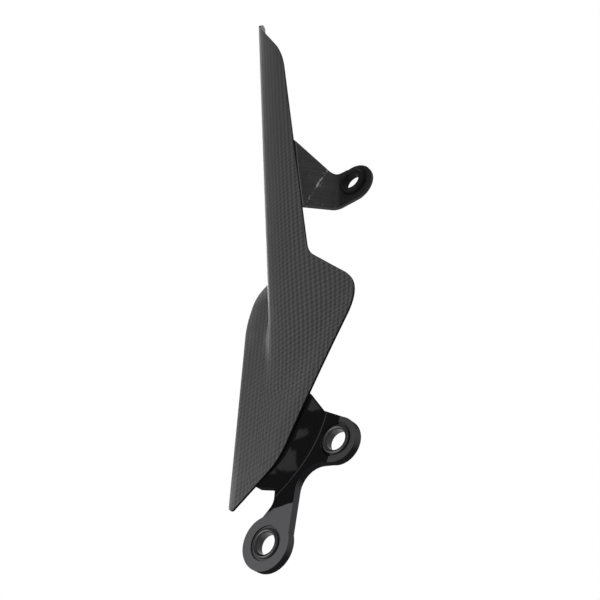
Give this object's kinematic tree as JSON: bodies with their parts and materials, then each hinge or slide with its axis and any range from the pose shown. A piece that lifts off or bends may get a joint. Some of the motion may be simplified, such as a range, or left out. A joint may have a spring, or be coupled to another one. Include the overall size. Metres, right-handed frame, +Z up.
{
  "type": "motorcycle chain guard",
  "caption": "Left-side chain guard: a moulded laminate blade with an inboard flange and a front panel, a gloss black front bracket with rubber-bushed ears, and a bushed rear tab.",
  "frame": {"origin": "on the axis of the front eyelet, half way through the bracket plate", "axes": "+X forward on the motorcycle, +Y outboard (to the left) along the eyelet axes, +Z up"},
  "size_m": [0.3729, 0.0368, 0.0809],
  "materials": {
    "laminate": "satin plain-weave carbon laminate",
    "black_plate": "gloss black plate with satin ears",
    "rough_laminate": "bag-side laminate, slightly rough, with pale specks",
    "rubber": "smooth moulded"
  },
  "bodies": {
    "root": {"guard_shell": "laminate", "front_bracket": "black_plate", "front_bush": "rubber", "lower_bush": "rubber", "rear_tab": "rough_laminate", "rear_bush": "rubber"}
  },
  "joints": []
}
